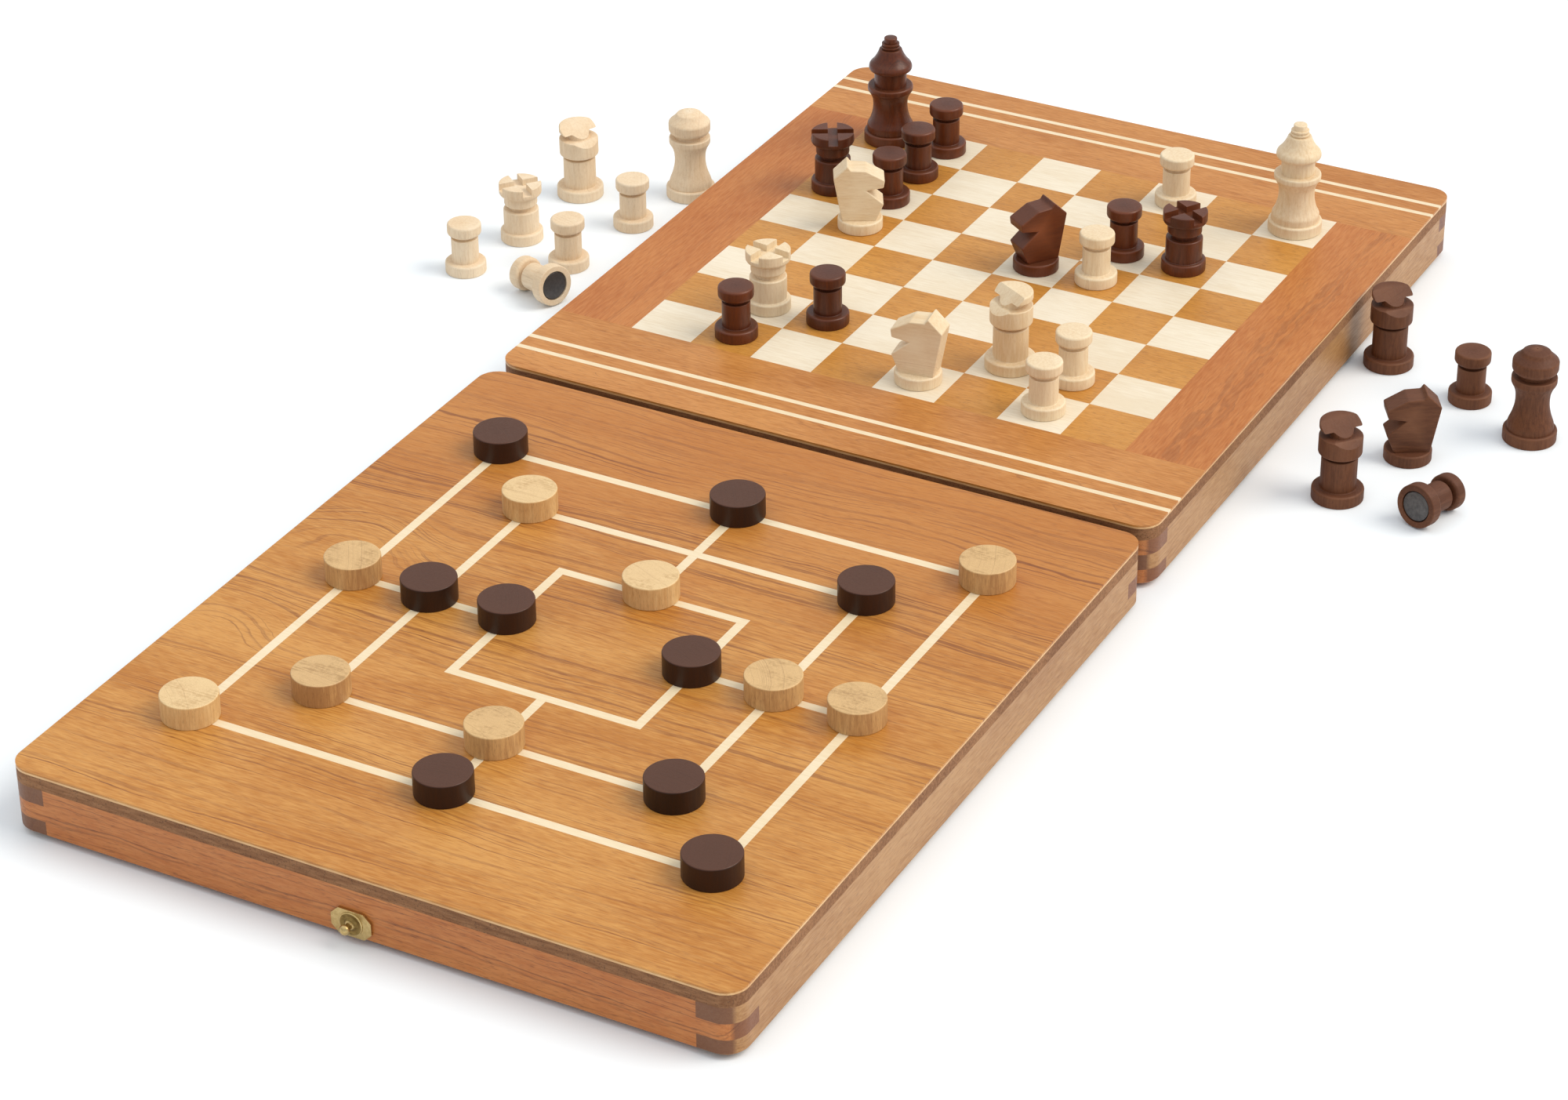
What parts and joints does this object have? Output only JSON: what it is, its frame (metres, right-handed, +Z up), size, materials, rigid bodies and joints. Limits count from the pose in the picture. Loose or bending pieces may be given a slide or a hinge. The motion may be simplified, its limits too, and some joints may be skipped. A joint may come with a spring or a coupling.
{
  "type": "games compendium box",
  "caption": "Folding wooden games box lying open, with a chess board and a nine men's morris board on its two hinged trays, turned chessmen, disc men and a brass hook latch.",
  "frame": {"origin": "centre of the open box's footprint, under the hinge line, on the surface it lies on", "axes": "+Z up out of the playing faces; +Y from the nine men's morris tray to the chess tray, along the box's greatest length; X along the hinge line"},
  "size_m": [0.3817, 0.5258, 0.0615],
  "materials": {
    "cherry_solid": "satin lacquered cherry",
    "cherry_veneer": "satin lacquered cherry veneer",
    "maple": "satin lacquered maple veneer",
    "fibreboard": "matt cut edge of fibreboard",
    "brass": "worn polished brass",
    "steel": "thin mild steel sheet",
    "dark_wood": "stained turned hardwood",
    "pale_wood": "plain turned hardwood"
  },
  "bodies": {
    "mill_half": {"mill_core_panel": "fibreboard", "mill_crossband": "maple", "mill_face_veneer": "cherry_veneer", "mill_line_inlay": "maple", "mill_front_wall": "cherry_solid", "mill_hinge_wall": "cherry_solid", "mill_left_wall": "cherry_solid", "mill_right_wall": "cherry_solid", "hinge_leaves_mill": "brass", "hinge_pins": "brass", "hinge_screws_mill": "brass", "latch_stud_plate": "brass", "latch_stud": "brass"},
    "chess_half": {"chess_core_panel": "fibreboard", "chess_crossband": "maple", "steel_sheet": "steel", "side_border_veneer": "cherry_veneer", "end_border_veneer": "cherry_veneer", "dark_squares": "cherry_veneer", "light_squares": "maple", "maple_stringing": "maple", "chess_hinge_wall": "cherry_solid", "chess_back_wall": "cherry_solid", "chess_left_wall": "cherry_solid", "chess_right_wall": "cherry_solid", "hinge_leaves_chess": "brass", "hinge_screws_chess": "brass", "latch_hook_plate": "brass", "latch_hook_pivot": "brass"},
    "latch_hook": {"latch_hook": "brass"},
    "dark_chessmen": {"dark_king": "dark_wood", "dark_pawns_on_board": "dark_wood", "dark_rooks": "dark_wood", "dark_knight_on_board": "dark_wood"},
    "light_chessmen": {"light_king": "pale_wood", "light_knights": "pale_wood", "light_rook_on_board": "pale_wood", "light_bishop_on_board": "pale_wood", "light_pawns_on_board": "pale_wood"},
    "light_chessmen_beside": {"light_queen": "pale_wood", "light_bishop_beside": "pale_wood", "light_rook_beside": "pale_wood", "light_pawns_beside": "pale_wood"},
    "dark_chessmen_beside": {"dark_queen": "dark_wood", "dark_bishops": "dark_wood", "dark_knight_beside": "dark_wood", "dark_pawns_beside": "dark_wood"},
    "dark_mill_men": {"dark_mill_men": "dark_wood"},
    "light_mill_men": {"light_mill_men": "pale_wood"}
  },
  "joints": [
    {"name": "fold", "type": "hinge", "parent": "mill_half", "child": "chess_half", "pos_m": [0, 0, 0.0013], "axis": [-1, 0, 0], "range_deg": [0, 180]},
    {"name": "hook_swing", "type": "hinge", "parent": "chess_half", "child": "latch_hook", "pos_m": [-0.002, 0.2583, 0.00645], "axis": [0, 1, 0], "range_deg": [0, 90]},
    {"name": "lift_dark_chessmen", "type": "slide", "parent": "chess_half", "child": "dark_chessmen", "axis": [0, 0, 1], "range_m": [0, 0.06]},
    {"name": "lift_light_chessmen", "type": "slide", "parent": "chess_half", "child": "light_chessmen", "axis": [0, 0, 1], "range_m": [0, 0.06]},
    {"name": "lift_dark_mill_men", "type": "slide", "parent": "mill_half", "child": "dark_mill_men", "axis": [0, 0, 1], "range_m": [0, 0.06]},
    {"name": "lift_light_mill_men", "type": "slide", "parent": "mill_half", "child": "light_mill_men", "axis": [0, 0, 1], "range_m": [0, 0.06]},
    {"name": "lift_dark_chessmen_beside", "type": "slide", "parent": "mill_half", "child": "dark_chessmen_beside", "axis": [0, 0, 1], "range_m": [0, 0.06]},
    {"name": "lift_light_chessmen_beside", "type": "slide", "parent": "mill_half", "child": "light_chessmen_beside", "axis": [0, 0, 1], "range_m": [0, 0.06]}
  ]
}
